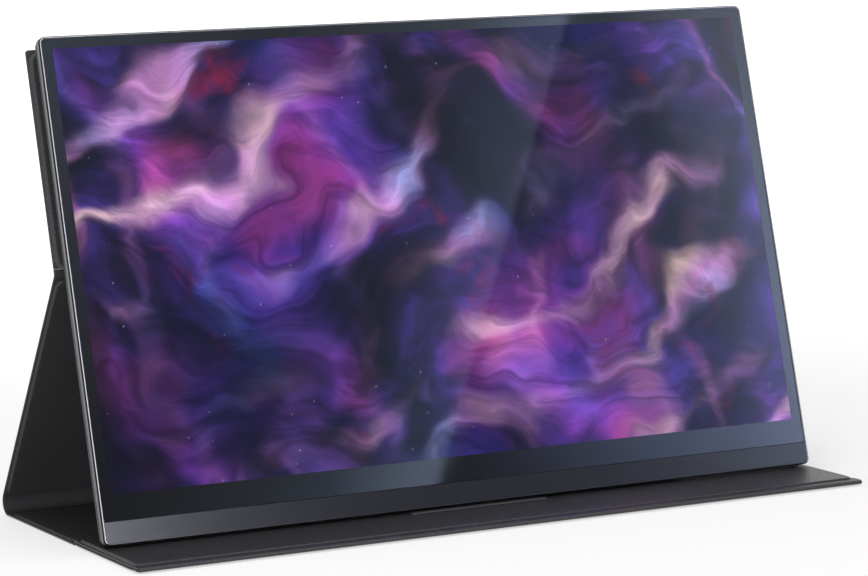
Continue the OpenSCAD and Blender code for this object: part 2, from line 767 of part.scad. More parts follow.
// The power button's longer foot keeps it behind the wall.
module power_button() {
    color([0.5, 0.51, 0.53]) on_display() {
        key_cap(button_z, button_len);
        translate([key_inner_x, key_depth, button_z]) rotate([0, 90, 0])
            linear_extrude(side_inner_x - fit_gap - key_inner_x) stadium(button_len + 1.6, key_h);
    }
}

// The menu lever rocks about its middle; a groove marks the middle for the finger.
module menu_lever() {
    color([0.5, 0.51, 0.53]) on_display() difference() {
        key_cap(lever_z, lever_len);
        translate([display_w / 2 + key_proud, key_depth - key_h, lever_z]) rotate([-90, 0, 0])
            cylinder(h = 2 * key_h, r = 0.35);
    }
}

// The leather round the holder pad: a soft-edged slab, hollow for the pad's block.
module pad_wrap() {
    color([0.17, 0.17, 0.18]) on_display() difference() {
        soft_slab(pad_w, pad_bottom, pad_top - pad_bottom, pad_front, pad_back - pad_front,
            pad_corner_r, pad_edge_r);
        pad_core();
    }
}

module pad_core() {
    plate(pad_w - 2 * pad_edge_r, pad_bottom + pad_edge_r, pad_top - pad_bottom - 2 * pad_edge_r,
        pad_front + wrap_t, pad_back - pad_front - 2 * wrap_t, pad_corner_r - pad_edge_r);
}

module pad_block() {
    color([0.3, 0.28, 0.26]) on_display() difference() {
        pad_core();
        for (x = magnet_columns, z = magnet_rows)
            translate([x, pad_front + wrap_t - cut, z]) rotate([-90, 0, 0])
                cylinder(h = magnet_t + cut, r = magnet_r);
    }
}

module pad_magnets() {
    color([0.6, 0.6, 0.62]) on_display() for (x = magnet_columns, z = magnet_rows)
        translate([x, pad_front + wrap_t, z]) rotate([-90, 0, 0])
            cylinder(h = magnet_t, r = magnet_r);
}

module back_board() {
    color([0.3, 0.28, 0.26]) on_display()
        plate(hem_board_w, back_bottom, back_top - back_bottom - side_hem, pad_back,
            back_board_t, board_corner_r);
}
module back_skin() {
    color([0.2, 0.2, 0.21]) on_display() {
        plate(cover_w, back_bottom, back_top - back_bottom, holder_depth - skin_t, skin_t,
            cover_corner_r);
        plate(cover_w, back_bottom, 2 * cover_corner_r, holder_depth - skin_t, skin_t);
    }
}

// The soft leather of the top fold, between the back panel and the brace.
module top_crease() {
    g = crease_w / 2;
    along = [sin(fold_angle), -cos(fold_angle)];
    inward = [-cos(fold_angle), -sin(fold_angle)];
    top = [holder_depth, fold_z];
    corner = [top[0] - strip_t, top[1] - strip_t * tan(fold_angle / 2)];
    color([0.2, 0.2, 0.21]) on_display() rotate([90, 0, 90])
        translate([0, 0, -cover_w / 2]) linear_extrude(cover_w)
            polygon([[top[0], top[1] + g], top, top + g * along,
                top + g * along + strip_t * inward, corner, [top[0] - strip_t, top[1] + g]]);
}

// A panel's three layers, drawn flat: Y runs along the panel, the outer skin is below.
module panel_skin(from_y, to_y) {
    translate([-cover_w / 2, from_y, 0]) cube([cover_w, to_y - from_y, skin_t]);
}

module panel_board_layer(from_y, to_y) {
    translate([0, from_y, skin_t]) linear_extrude(board_layer_t)
        round_rect(hem_board_w, to_y - from_y, board_corner_r);
}

module panel_lining(from_y, to_y, board_from, board_to) {
    difference() {
        union() {
            translate([-cover_w / 2, from_y, skin_t]) cube([cover_w, to_y - from_y, lining_t]);
            translate([0, board_from - lining_t, skin_t]) linear_extrude(panel_t - skin_t)
                round_rect(hem_board_w + 2 * lining_t, board_to - board_from + 2 * lining_t,
                    board_corner_r + lining_t);
        }
        panel_board_layer(board_from, board_to);
    }
}

brace_from = crease_w / 2;
brace_board_to = brace_len - crease_w / 2;

module brace_skin() {
    color([0.2, 0.2, 0.21]) on_brace() panel_skin(brace_from, brace_len - seam_gap);
}

module brace_board() {
    color([0.3, 0.28, 0.26]) on_brace()
        panel_board_layer(brace_from + lining_t, brace_board_to);
}

module brace_lining() {
    color([0.17, 0.17, 0.18]) on_brace()
        panel_lining(brace_from, brace_len - seam_gap, brace_from + lining_t, brace_board_to);
}

// The round rear bend, from the base's underside to the brace's back.
module rear_bend() {
    far = 3 * bend_r;
    color([0.2, 0.2, 0.21]) translate([-cover_w / 2, bend_y, bend_r]) rotate([90, 0, 90])
        linear_extrude(cover_w) difference() {
            circle(bend_r);
            circle(bend_r - strip_t);
            polygon([[0, 0], [0, -far], [-far, -far], [-far, far], [far, far],
                [far * cos(brace_lean), far * sin(brace_lean)]]);
        }
}

// The base: its rear panel lies on the table, its front panel on the folded flap.
module on_base_front() {
    translate([0, 0, panel_t]) children();
}

// The leather of the base's crease, which laps a little way into the flat sheets.
module crease_slope(bottom, thick) {
    lap = lining_t / 2;
    high = panel_t + bottom;
    translate([-cover_w / 2, 0, 0]) rotate([90, 0, 90]) linear_extrude(cover_w)
        polygon([[crease_front_y - lap, high], [crease_front_y, high], [crease_rear_y, bottom],
            [crease_rear_y + lap, bottom], [crease_rear_y + lap, bottom + thick],
            [crease_rear_y, bottom + thick], [crease_front_y, high + thick],
            [crease_front_y - lap, high + thick]]);
}

module base_skin() {
    color([0.2, 0.2, 0.21]) {
        panel_skin(crease_rear_y, bend_y);
        on_base_front() panel_skin(base_front_y, crease_front_y);
        crease_slope(0, skin_t);
    }
}

module base_rear_board() {
    color([0.3, 0.28, 0.26])
        panel_board_layer(crease_rear_y + lining_t, bend_y - crease_w / 2);
}

module base_front_board() {
    color([0.3, 0.28, 0.26]) difference() {
        on_base_front() panel_board_layer(base_front_y + lining_t, crease_front_y - lining_t);
        closing_magnets(fit_gap, cut);
    }
}

module base_lining() {
    color([0.17, 0.17, 0.18]) {
        panel_lining(crease_rear_y, bend_y, crease_rear_y + lining_t, bend_y - crease_w / 2);
        on_base_front() panel_lining(base_front_y, crease_front_y, base_front_y + lining_t,
            crease_front_y - lining_t);
        crease_slope(skin_t, lining_t);
    }
}

module stop_bar() {
    color([0.2, 0.2, 0.21]) translate([0, edge_y - stop_gap - stop_bar_d, base_top])
        linear_extrude(stop_bar_h) round_rect(stop_bar_w, stop_bar_d, stop_bar_d / 4);
}

// Flat magnets in the base's front board, which hold the cover shut on the display.
module closing_magnets(gap, extra) {
    for (side = [-1, 1])
        translate([side * magnet_spacing - closer_w / 2 - gap, base_front_y + closer_edge - gap,
            panel_t + skin_t])
            cube([closer_w + 2 * gap, closer_d + 2 * gap, board_layer_t - fit_gap + extra]);
}

module base_magnets() {
    color([0.6, 0.6, 0.62]) closing_magnets(0, 0);
}

// The soft leather that folds round the base's front edge to the flap below it.
module front_fold() {
    color([0.17, 0.17, 0.18]) intersection() {
        translate([-cover_w / 2, 0, 0]) rotate([90, 0, 90]) linear_extrude(cover_w) {
            translate([nose_y, panel_t - strip_t]) square([base_front_y - nose_y, 2 * strip_t]);
            translate([nose_y, panel_t]) circle(strip_t);
        }
        translate([0, front_y, 0]) linear_extrude(base_top)
            round_rect(cover_w, panel_pitch, cover_corner_r);
    }
}

// The flap lies upside down under the base's front panel, its lining on the table.
module on_flap() {
    translate([0, 0, panel_t]) mirror([0, 0, 1]) children();
}

module flap_skin() {
    color([0.2, 0.2, 0.21]) on_flap() panel_skin(base_front_y, flap_to);
}

module flap_board() {
    color([0.3, 0.28, 0.26]) on_flap()
        panel_board_layer(base_front_y + lining_t, flap_to - side_hem);
}

module flap_lining() {
    color([0.17, 0.17, 0.18]) on_flap()
        panel_lining(base_front_y, flap_to, base_front_y + lining_t, flap_to - side_hem);
}

cover_glass();
chin_strip();
mid_frame();
bezel_gasket();
lcd_cell();
diffuser_sheets();
light_guide();
reflector_sheet();
led_bar();
panel_chassis();
panel_board();
display_cable();
driver_board();
board_shield();
usb_c_ports();
mini_hdmi_port();
audio_jack();
key_switches();
speakers();
speaker_wires();
steel_plates();
rear_cover();
cover_screws();
board_screws();
power_button();
menu_lever();
pad_wrap();
pad_block();
pad_magnets();
back_board();
back_skin();
top_crease();
brace_skin();
brace_board();
brace_lining();
rear_bend();
base_skin();
base_rear_board();
base_front_board();
base_lining();
stop_bar();
base_magnets();
front_fold();
flap_skin();
flap_board();
flap_lining();
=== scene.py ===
"""A portable monitor that stands on its folded leather cover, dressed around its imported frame.

Lengths are in metres, in the frame's own axes: Z is up, the screen faces -Y, and +X is to the
right of someone who looks at it.
"""
import json
import math

import bpy
import numpy as np
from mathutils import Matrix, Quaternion, Vector


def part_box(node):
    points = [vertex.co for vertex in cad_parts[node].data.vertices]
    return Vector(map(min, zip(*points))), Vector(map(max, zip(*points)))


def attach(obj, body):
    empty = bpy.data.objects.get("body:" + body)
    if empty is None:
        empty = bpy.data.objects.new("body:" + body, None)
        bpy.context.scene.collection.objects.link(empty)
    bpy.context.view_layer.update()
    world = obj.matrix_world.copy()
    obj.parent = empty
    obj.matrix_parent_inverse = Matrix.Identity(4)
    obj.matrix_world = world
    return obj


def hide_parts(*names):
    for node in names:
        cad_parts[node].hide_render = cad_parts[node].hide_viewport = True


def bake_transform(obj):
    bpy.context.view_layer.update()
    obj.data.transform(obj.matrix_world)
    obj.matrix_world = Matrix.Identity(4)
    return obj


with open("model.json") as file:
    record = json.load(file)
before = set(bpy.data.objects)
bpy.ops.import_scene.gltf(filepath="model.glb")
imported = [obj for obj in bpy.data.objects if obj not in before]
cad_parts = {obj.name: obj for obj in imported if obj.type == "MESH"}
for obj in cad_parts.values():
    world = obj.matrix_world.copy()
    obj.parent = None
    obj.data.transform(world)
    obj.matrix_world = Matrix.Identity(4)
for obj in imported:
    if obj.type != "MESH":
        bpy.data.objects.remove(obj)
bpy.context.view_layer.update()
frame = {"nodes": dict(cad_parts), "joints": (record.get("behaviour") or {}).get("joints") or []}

# The camera: a long lens about a metre and a half away, a little left of the screen's axis and
# a little above the table, turned slightly so that the right-hand side drops.
MM = 0.001
camera_place = Vector((-707.1, -1361.7, 287.7)) * MM
aim_point = Vector((-5.9, -13.3, 99.0)) * MM
camera_roll = math.radians(-1.227)
lens = bpy.data.cameras.new("long_lens")
lens.sensor_width = 36
lens.lens = 141.77
lens.clip_start = 0.05
lens.clip_end = 50
camera = bpy.data.objects.new("camera", lens)
level_turn = (aim_point - camera_place).to_track_quat("-Z", "Y")
camera.rotation_mode = "QUATERNION"
camera.rotation_quaternion = level_turn @ Quaternion((0, 0, 1), camera_roll)
camera.location = camera_place
bpy.context.scene.collection.objects.link(camera)
bpy.context.scene.camera = camera
bpy.context.scene.view_settings.view_transform = "Standard"


# The liquid crystal cell: two thin glasses that carry the lit picture. The picture is an
# abstract night sky: deep clouds, with flowing veils of light thrown over them.
def linear(code, alpha=1.0):
    """An sRGB hex colour as linear red, green, blue and alpha."""
    parts = [int(code[i:i + 2], 16) / 255 for i in (1, 3, 5)]
    curve = [p / 12.92 if p <= 0.04045 else ((p + 0.055) / 1.055) ** 2.4 for p in parts]
    return (*curve, alpha)


def feed(tree, shader, inputs):
    """Gives each named input a plain value, or the first open output of another node."""
    for name, value in inputs.items():
        if isinstance(value, bpy.types.Node):
            value = next(o for o in value.outputs if o.enabled)
        if isinstance(value, bpy.types.NodeSocket):
            tree.links.new(value, shader.inputs[name])
        elif isinstance(value, str):
            shader.inputs[name].default_value = linear(value)
        else:
            shader.inputs[name].default_value = value


def add(tree, kind, inputs, stops=(), **settings):
    """Adds a node of one kind with its settings, its ramp's colour stops and its inputs."""
    made = tree.nodes.new("ShaderNode" + kind)
    for name, value in settings.items():
        setattr(made, name, value)
    for i, (place, code) in enumerate(stops):
        stop = made.color_ramp.elements[i] if i < 2 else made.color_ramp.elements.new(place)
        stop.position = place
        stop.color = linear(code)
    feed(tree, made, inputs)
    return made


def new_material(name):
    """A new material, with the node tree and the shader that its section fills in."""
    made = bpy.data.materials.new(name)
    made.use_nodes = True
    return made, made.node_tree, made.node_tree.nodes["Principled BSDF"]


def dress(material, slot, *names):
    """Gives CAD nodes a material. The slot argument is not used."""
    for name in names:
        held = frame["nodes"][name]
        held.data.materials.clear()
        held.data.materials.append(material)


release = next(j for j in frame["joints"] if j["name"] == "display_release")
face_out = np.array(release["axis"], float)
tilt = math.atan2(face_out[2], -face_out[1])
depth_axis = np.array([0, math.cos(tilt), -math.sin(tilt)])
up_axis = np.array([0, math.sin(tilt), math.cos(tilt)])
frame_points = np.array([v.co for v in frame["nodes"]["mid_frame"].data.vertices])
front_depth = (frame_points @ depth_axis).min()
foot_height = (frame_points @ up_axis).min()


def display_coordinates(tree):
    """Object coordinates turned to the display's own: across, depth behind the glass, height."""
    place = add(tree, "TexCoord", {})
    return add(tree, "Mapping", {"Vector": place.outputs["Object"], "Rotation": (tilt, 0, 0),
                                 "Location": (0, -front_depth, -foot_height)})


picture, tree, shader = new_material("lit_abstract_picture")
chin_border = 21.6 * MM
screen_w = 344.2 * MM
screen_h = 193.6 * MM
on_screen = add(tree, "Mapping", {
    "Vector": display_coordinates(tree),
    "Location": (0, 0, -(chin_border + screen_h / 2) / (screen_h / 2)),
    "Scale": (2 / screen_h, 1, 2 / screen_h)})
sides = add(tree, "SeparateXYZ", {"Vector": on_screen})
across = sides.outputs["X"]
upward = sides.outputs["Z"]
flat_place = add(tree, "CombineXYZ", {"X": across, "Y": upward})


def drift(tree, place, scale, amount, seed):
    """The place moved about by a soft noise, so that what is painted over it flows."""
    shifted = add(tree, "Mapping", {"Vector": place, "Location": (seed, seed * 0.7, seed)})
    noise = add(tree, "TexNoise", {"Vector": shifted, "Scale": scale, "Detail": 3.0})
    off = add(tree, "VectorMath", {0: noise.outputs["Color"], 1: (0.5, 0.5, 0.5)},
              operation="SUBTRACT")
    off = add(tree, "VectorMath", {0: off, "Scale": amount}, operation="SCALE")
    return add(tree, "VectorMath", {0: place, 1: off}, operation="ADD")


def veil(tree, below, place, turn, scale, power, strength, stops):
    """Light thrown over the picture in flowing bands: a wave raised to a power, which leaves
    dark gaps between them, masked and tinted by noises of its own."""
    turned = add(tree, "Mapping", {"Vector": place, "Rotation": (0, 0, math.radians(turn)),
                                   "Location": (scale, turn, 0)})
    wave = add(tree, "TexWave", {"Vector": turned, "Scale": scale, "Distortion": 1.6,
                                 "Detail": 2.0, "Detail Scale": 0.8})
    band = add(tree, "Math", {0: wave.outputs["Fac"], 1: power}, operation="POWER")
    mask = add(tree, "TexNoise", {"Vector": turned, "Scale": 0.9, "Detail": 2.0})
    mask = add(tree, "MapRange", {"Value": mask, "From Min": 0.42, "From Max": 0.68,
                                  "To Max": strength}, interpolation_type="SMOOTHSTEP")
    lit = add(tree, "Math", {0: band, 1: mask}, operation="MULTIPLY", use_clamp=True)
    tint = add(tree, "TexNoise", {"Vector": flat_place, "Scale": 1.3, "Detail": 2.0})
    colour = add(tree, "ValToRGB", {"Fac": tint}, stops=stops)
    return add(tree, "MixRGB", {"Fac": lit, "Color1": below, "Color2": colour},
               blend_type="SCREEN")


flowing = drift(tree, flat_place, 0.8, 1.5, 2.3)
clouds = add(tree, "TexNoise", {"Vector": flowing, "Scale": 1.5, "Detail": 8.0, "Roughness": 0.58})
picture_now = add(tree, "ValToRGB", {"Fac": clouds}, stops=[
    (0.30, "#0a0c1c"), (0.76, "#5b4bb4"), (0.44, "#15163a"), (0.54, "#2b1f58"),
    (0.64, "#43308a")])
folded = drift(tree, flowing, 1.7, 0.45, 8.1)
picture_now = veil(tree, picture_now, flowing, 24, 0.22, 2.2, 0.95, [
    (0.35, "#22309a"), (0.66, "#b8389c"), (0.50, "#5a2ab0")])
picture_now = veil(tree, picture_now, folded, -35, 0.42, 4.0, 0.9, [
    (0.35, "#5560e0"), (0.66, "#e2569e"), (0.50, "#9a48d8")])
picture_now = veil(tree, picture_now, folded, 62, 0.7, 6.0, 1.1, [
    (0.36, "#a8b4ff"), (0.66, "#ffd8d0"), (0.50, "#f0a6f4")])
picture_now = veil(tree, picture_now, drift(tree, folded, 4.0, 0.16, 5.2), -12, 0.8, 6.0, 0.35, [
    (0.36, "#7f8cff"), (0.66, "#ff9ec4"), (0.50, "#c07af0")])
ember = add(tree, "TexNoise", {"Vector": flowing, "Scale": 2.1, "Detail": 6.0, "Roughness": 0.6})
ember = add(tree, "MapRange", {"Value": ember, "From Min": 0.57, "From Max": 0.74,
                               "To Max": 0.75}, interpolation_type="SMOOTHSTEP")
picture_now = add(tree, "MixRGB", {"Fac": ember, "Color1": picture_now, "Color2": "#8c1e44"})
shade = add(tree, "TexNoise", {"Vector": flowing, "Scale": 0.75, "Detail": 4.0})
shade = add(tree, "MapRange", {"Value": shade, "From Min": 0.40, "From Max": 0.60, "To Min": 0.82,
                               "To Max": 0.0}, interpolation_type="SMOOTHSTEP")
picture_now = add(tree, "MixRGB", {"Fac": shade, "Color1": picture_now, "Color2": "#0b0a1a"})
wisps = add(tree, "Mapping", {"Vector": folded, "Rotation": (0, 0, 0.6), "Scale": (1.6, 6.5, 1)})
wisps = add(tree, "TexNoise", {"Vector": wisps, "Scale": 1.4, "Detail": 10.0, "Roughness": 0.62,
                               "Distortion": 0.4})
wisps = add(tree, "ValToRGB", {"Fac": wisps}, stops=[(0.40, "#9a98a4"), (0.60, "#ffffff")])
picture_now = add(tree, "MixRGB", {"Fac": 0.8, "Color1": picture_now, "Color2": wisps},
                  blend_type="MULTIPLY")
sparks = add(tree, "TexVoronoi", {"Vector": flat_place, "Scale": 11.0})
spark = add(tree, "MapRange", {"Value": sparks.outputs["Distance"], "From Min": 0.05,
                               "From Max": 0.0})
spark = add(tree, "Math", {0: spark, 1: clouds}, operation="MULTIPLY")
picture_now = add(tree, "MixRGB", {"Fac": spark, "Color1": picture_now, "Color2": "#ffffff"},
                  blend_type="SCREEN")
past_side = add(tree, "Math", {0: add(tree, "Math", {0: across}, operation="ABSOLUTE"),
                               1: (screen_w - screen_h) / screen_h}, operation="SUBTRACT")
past_end = add(tree, "Math", {0: upward}, operation="ABSOLUTE")
outermost = add(tree, "Math", {0: past_side, 1: past_end}, operation="MAXIMUM")
lit = add(tree, "MapRange", {"Value": outermost, "From Min": 1.0, "From Max": 1.001,
                             "To Min": 1.0, "To Max": 0.0})
# What the picture throws on the cover is lifted, so that its blue glow shows as in the photo.
rays = add(tree, "LightPath", {})
thrown = add(tree, "Math", {0: rays.outputs["Diffuse Depth"], 1: rays.outputs["Glossy Depth"]},
             use_clamp=True)
thrown_lift = 3.0
thrown = add(tree, "MapRange", {"Value": thrown, "To Min": 1.0, "To Max": thrown_lift})
lit = add(tree, "Math", {0: lit, 1: thrown}, operation="MULTIPLY")
feed(tree, shader, {"Base Color": "#050507", "Roughness": 0.3, "Specular IOR Level": 0.0,
                    "Emission Color": picture_now, "Emission Strength": lit})
dress(picture, "screen", "lcd_cell")

# The films and the light guide behind the cell: milky polyester sheets, a clear acrylic plate
# with printed dots, and a silvered sheet, all loose in the panel's tray.
for name, code, rough, spot, slot in (
        ("diffuser_sheets", "#eef0f6", 0.65, 0.4, "optical_film"),
        ("light_guide", "#dfe9ee", 0.25, 1.2, "acrylic"),
        ("reflector_sheet", "#f4f5f5", 0.45, 0.4, "optical_film")):
    made, tree, shader = new_material(f"{name}_finish")
    dots = add(tree, "TexVoronoi", {"Vector": display_coordinates(tree), "Scale": 1 / (spot * MM)})
    tone = add(tree, "MixRGB", {"Fac": dots.outputs["Distance"], "Color1": code,
                                "Color2": "#c9ced6"})
    feed(tree, shader, {"Base Color": tone, "Roughness": rough, "IOR": 1.49})
    dress(made, slot, name)

# The steel parts: the panel's tray, the shield can, the sockets' shells, screws, plates and
# magnets, pressed or drawn from thin plated steel, so each has fine drawing lines.
steel, tree, shader = new_material("plated_steel")
drawn = add(tree, "Mapping", {"Vector": display_coordinates(tree), "Scale": (60, 900, 2500)})
lines = add(tree, "TexNoise", {"Vector": drawn, "Scale": 1.0, "Detail": 2.0})
tone = add(tree, "ValToRGB", {"Fac": lines}, stops=[(0.2, "#a9abb0"), (0.8, "#c9cace")])
rough = add(tree, "MapRange", {"Value": lines, "To Min": 0.22, "To Max": 0.42})
feed(tree, shader, {"Base Color": tone, "Metallic": 1.0, "Roughness": rough})
dress(steel, "bright_steel", "panel_chassis", "board_shield", "usb_c_ports", "mini_hdmi_port",
      "key_switches", "steel_plates", "board_screws", "pad_magnets", "base_magnets")

# The circuit boards: woven glass laminate under green solder mask, which shows the weave and
# the copper below it as a slightly mottled gloss; the lamp bar is the same, printed white.
weave_pitch = 0.6 * MM
for name, dark, light in (("driver_board", "#0d3a20", "#1b5c34"),
                          ("panel_board", "#123f26", "#1f6a40"),
                          ("led_bar", "#d8d6c6", "#f6f2dc")):
    made, tree, shader = new_material(f"{name}_laminate")
    place = display_coordinates(tree)
    weave = add(tree, "TexBrick", {"Vector": place, "Scale": 0.25 / weave_pitch,
                                   "Color1": dark, "Color2": light, "Mortar": dark})
    feed(tree, shader, {"Base Color": weave, "Roughness": 0.32,
                        "Normal": add(tree, "Bump", {"Height": weave.outputs["Fac"],
                                                     "Strength": 0.2, "Distance": 0.00005})})
    dress(made, "circuit_board", name)

# The flat cable and the speakers' leads: amber polyimide film over copper tracks, and twin
# leads in soft red insulation.
track_pitch = 0.5 * MM
cable_film, tree, shader = new_material("polyimide_film")
tracks = add(tree, "TexWave", {"Vector": display_coordinates(tree),
                               "Scale": math.pi / 10 / track_pitch})
tone = add(tree, "ValToRGB", {"Fac": tracks}, stops=[(0.35, "#a8742c"), (0.65, "#d69a46")])
feed(tree, shader, {"Base Color": tone, "Roughness": 0.3, "IOR": 1.7})
dress(cable_film, "flat_cable", "display_cable")
insulation, tree, shader = new_material("red_insulation")
skin = add(tree, "TexNoise", {"Vector": display_coordinates(tree), "Scale": 1500.0})
tone = add(tree, "ValToRGB", {"Fac": skin}, stops=[(0.3, "#6e1616"), (0.7, "#8c2020")])
feed(tree, shader, {"Base Color": tone, "Roughness": 0.45})
dress(insulation, "wire", "speaker_wires")

# The black moulded parts: the headphone socket and the speakers' boxes in glass-filled nylon,
# and the back screws in blackened steel; all show a fine spark-eroded grain.
moulded, tree, shader = new_material("black_moulding")
grain = add(tree, "TexNoise", {"Vector": display_coordinates(tree), "Scale": 3500.0})
tone = add(tree, "ValToRGB", {"Fac": grain}, stops=[(0.3, "#141416"), (0.7, "#1e1e20")])
feed(tree, shader, {"Base Color": tone, "Roughness": 0.5,
                    "Normal": add(tree, "Bump", {"Height": grain, "Strength": 0.3,
                                                 "Distance": 0.00005})})
dress(moulded, "black_plastic", "audio_jack", "speakers", "cover_screws")

# The adhesive ring behind the glass: black closed-cell foam, dull and finely pored, which holds
# the panel and keeps its light in.
foam, tree, shader = new_material("black_foam")
cells = add(tree, "TexVoronoi", {"Vector": display_coordinates(tree), "Scale": 2500.0})
tone = add(tree, "ValToRGB", {"Fac": cells.outputs["Distance"]},
           stops=[(0.2, "#0b0b0c"), (0.8, "#161617")])
feed(tree, shader, {"Base Color": tone, "Roughness": 0.85})
dress(foam, "bezel_print", "bezel_gasket")

# The black border: ink printed on the back of the glass, round the lit area, and fired on, so
# that it reads as a deep gloss through the glass.
ink, tree, shader = new_material("black_printed_border")
mist = add(tree, "TexNoise", {"Vector": display_coordinates(tree), "Scale": 45.0})
rough = add(tree, "MapRange", {"Value": mist, "To Min": 0.02, "To Max": 0.05})
feed(tree, shader, {"Base Color": "#08090b", "Roughness": rough, "IOR": 1.7,
                    "Specular IOR Level": 1.0})


def round_loop(half_w, low, high, radius, depth):
    """A rectangle with round corners, point by point, at one depth behind the display's face:
    each corner's points lie at its middle plus radius * (cos, sin) of a quarter turn."""
    points = []
    for turn, x, z in ((0, half_w - radius, high - radius), (1, radius - half_w, high - radius),
                       (2, radius - half_w, low + radius), (3, half_w - radius, low + radius)):
        spoke = (turn + np.linspace(0, 1, 9)) * math.pi / 2
        across, up = x + radius * np.cos(spoke), z + radius * np.sin(spoke)
        place = (up + foot_height)[:, None] * up_axis + (depth + front_depth) * depth_axis
        place[:, 0] = across
        points.append(place)
    return np.concatenate(points)


glass_points = np.array([v.co for v in frame["nodes"]["cover_glass"].data.vertices])
glass_half = glass_points[:, 0].max()
glass_low, glass_high = (glass_points @ up_axis).min(), (glass_points @ up_axis).max()
edge_margin = 0.2 * MM
outer_r = 1.9 * MM
inner_r = 0.3 * MM
ink_front = 1.04 * MM
ink_back = 1.07 * MM
outer = (glass_half - edge_margin, glass_low - foot_height + edge_margin,
         glass_high - foot_height - edge_margin, outer_r)
inner = (screen_w / 2, chin_border, chin_border + screen_h, inner_r)
loops = [round_loop(*outer, ink_front), round_loop(*inner, ink_front),
         round_loop(*inner, ink_back), round_loop(*outer, ink_back)]
count = len(loops[0])
ring_faces = [(a * count + i, a * count + (i + 1) % count, b * count + (i + 1) % count,
               b * count + i) for a, b in ((0, 1), (1, 2), (2, 3), (3, 0)) for i in range(count)]
mesh = bpy.data.meshes.new("printed_border")
mesh.from_pydata(np.concatenate(loops), [], ring_faces)
border = bpy.data.objects.new("printed_border", mesh)
bpy.context.scene.collection.objects.link(border)
border.data.materials.append(ink)
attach(border, "display")

# The cover glass: toughened sheet glass, ground and polished, with a coating that dims its
# reflections, so the lit picture shows clearly through it.
glass, tree, shader = new_material("toughened_glass")
smear = add(tree, "TexNoise", {"Vector": display_coordinates(tree), "Scale": 18.0, "Detail": 4.0})
rough = add(tree, "MapRange", {"Value": smear, "From Min": 0.5, "From Max": 0.9,
                               "To Min": 0.0, "To Max": 0.03})
feed(tree, shader, {"Base Color": "#ffffff", "Roughness": rough, "IOR": 1.5,
                    "Transmission Weight": 1.0})
dress(glass, "cover_glass", "cover_glass")

# The chin strip: a thin aluminium strip under the glass, blasted and anodised to a satin
# grey, so that it shows the studio only as broad soft bands.
chin, tree, shader = new_material("satin_anodised_strip")
place = display_coordinates(tree)
long_grain = add(tree, "Mapping", {"Vector": place, "Scale": (90, 1500, 4200)})
grain = add(tree, "TexNoise", {"Vector": long_grain, "Scale": 1.0, "Detail": 3.0})
tone = add(tree, "ValToRGB", {"Fac": grain}, stops=[(0.25, "#55565b"), (0.75, "#606167")])
rough = add(tree, "MapRange", {"Value": grain, "To Min": 0.18, "To Max": 0.23})
feed(tree, shader, {"Base Color": tone, "Metallic": 1.0, "Roughness": rough,
                    "Normal": add(tree, "Bump", {"Height": grain, "Strength": 0.12,
                                                 "Distance": 0.00004})})
dress(chin, "chin_metal", "chin_strip")

# The frame: a machined aluminium ring, anodised. From front to back it shows a bright lip,
# the chamfer and groove in black painted shade, a pale blasted wall, a black seam and a dark
# rear edge.
frame_depth = 4.6 * MM
ring, tree, shader = new_material("anodised_frame")
place = display_coordinates(tree)
sides = add(tree, "SeparateXYZ", {"Vector": place})
depth = add(tree, "MapRange", {"Value": sides.outputs["Y"], "From Max": frame_depth})
lip, black, wall, rear = "#c6c7cb", "#17171a", "#76777b", "#3a3a3d"
lip_from, lip_to = 0.028, 0.034
# Each place is a share of the frame's depth, and each band's edge is under 0.03 mm wide.
# The first black band, over the chamfer and groove, is painted groove shade; the second is the
# seam.
bands = add(tree, "ValToRGB", {"Fac": depth}, stops=[
    (0.0, lip), (1.0, rear), (lip_from, lip), (lip_to, black), (0.135, black), (0.14, wall),
    (0.76, wall), (0.765, black), (0.89, black), (0.895, rear)])
blast = add(tree, "TexNoise", {"Vector": place, "Scale": 5000.0})
speck = add(tree, "ValToRGB", {"Fac": blast}, stops=[(0.3, "#e8e8e8"), (0.7, "#ffffff")])
tone = add(tree, "MixRGB", {"Fac": 1.0, "Color1": bands, "Color2": speck}, blend_type="MULTIPLY")
on_lip = add(tree, "MapRange", {"Value": depth, "From Min": lip_to, "From Max": lip_from})
at_foot = add(tree, "MapRange", {"Value": sides.outputs["Z"], "From Min": 1.4 * MM,
                                 "From Max": 1.1 * MM})
chin_like = add(tree, "Math", {0: on_lip, 1: at_foot}, operation="MULTIPLY")
tone = add(tree, "MixRGB", {"Fac": chin_like, "Color1": tone, "Color2": "#5b5c61"})
rough = add(tree, "MapRange", {"Value": on_lip, "To Min": 0.4, "To Max": 0.27})
feed(tree, shader, {"Base Color": tone, "Metallic": 1.0, "Roughness": rough,
                    "Normal": add(tree, "Bump", {"Height": blast, "Strength": 0.1,
                                                 "Distance": 0.00003})})
dress(ring, "frame_metal", "mid_frame")

# The power button and the menu lever: milled from the frame's alloy and anodised to match,
# with a tone worn a little brighter in random patches.
keys, tree, shader = new_material("anodised_keys")
blast = add(tree, "TexNoise", {"Vector": display_coordinates(tree), "Scale": 4500.0})
worn = add(tree, "TexNoise", {"Vector": display_coordinates(tree), "Scale": 350.0})
tone = add(tree, "ValToRGB", {"Fac": worn}, stops=[(0.35, "#57585c"), (0.75, "#7b7c80")])
feed(tree, shader, {"Base Color": tone, "Metallic": 1.0, "Roughness": 0.36,
                    "Normal": add(tree, "Bump", {"Height": blast, "Strength": 0.1,
                                                 "Distance": 0.00003})})
dress(keys, "key_metal", "power_button", "menu_lever")

